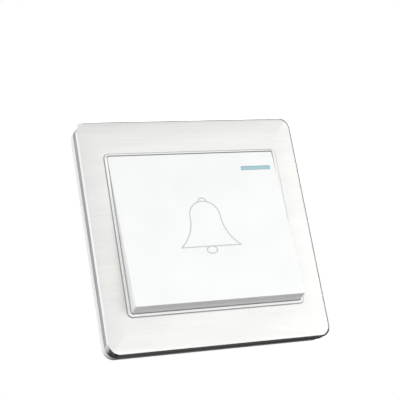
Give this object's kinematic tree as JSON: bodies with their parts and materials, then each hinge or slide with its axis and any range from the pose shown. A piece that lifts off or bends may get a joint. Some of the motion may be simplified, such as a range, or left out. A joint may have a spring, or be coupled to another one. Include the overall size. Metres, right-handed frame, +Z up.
{
  "type": "doorbell push button",
  "caption": "Square wall plate in brushed silver with a broad white tilting key that carries a bell outline and a pale blue luminous bar, over a momentary switch insert.",
  "frame": {"origin": "midway between the two fixing screws, on the wall plane", "axes": "+Z up the wall, -Y out of the wall towards the hand, +X to the right as seen from the front"},
  "size_m": [0.086, 0.0324, 0.086],
  "materials": {
    "brushed_sheet": "horizontally brushed",
    "polished_frame": "polished",
    "panel_white": "glossy",
    "base_white": "satin",
    "key_white": "glossy",
    "insert_plastic": "matte",
    "plunger_plastic": "matte",
    "bell_ink": "matte ink",
    "glow_blue": "translucent luminous plastic",
    "contact_brass": "bright",
    "contact_silver": "satin silver",
    "screw_steel": "zinc plated",
    "spring_steel": "drawn wire"
  },
  "bodies": {
    "plate": {"trim_sheet": "brushed_sheet", "outer_frame": "polished_frame", "front_panel": "panel_white", "mounting_base": "base_white", "module_cover": "insert_plastic", "rear_housing": "insert_plastic", "housing_screw_1": "screw_steel", "housing_screw_2": "screw_steel", "housing_screw_3": "screw_steel", "housing_screw_4": "screw_steel", "contact_strip_1": "contact_brass", "contact_strip_2": "contact_brass", "fixed_contact_1": "contact_silver", "fixed_contact_2": "contact_silver", "terminal_block_1": "contact_brass", "terminal_block_2": "contact_brass", "terminal_screw_1": "screw_steel", "terminal_screw_2": "screw_steel", "plunger_spring": "spring_steel"},
    "key": {"key_plate": "key_white", "bell_mark": "bell_ink", "glow_strip": "glow_blue", "key_carrier": "key_white"},
    "plunger": {"plunger": "plunger_plastic", "contact_bridge": "contact_brass", "bridge_contact_1": "contact_silver", "bridge_contact_2": "contact_silver", "bridge_washer": "spring_steel"}
  },
  "joints": [
    {"name": "key_press", "type": "hinge", "parent": "plate", "child": "key", "pos_m": [0, -0.006, 0.0004], "axis": [1, 0, 0], "range_deg": [0, 6], "stiffness_Nm_per_rad": 0.3, "springref_deg": -4.58},
    {"name": "plunger_slide", "type": "slide", "parent": "plate", "child": "plunger", "axis": [0, 1, 0], "range_m": [0, 0.0015], "deforming": ["plunger_spring"]}
  ],
  "couplings": [
    {"joint": "plunger_slide", "follows": "key_press", "m_per_rad": 0.0141}
  ]
}
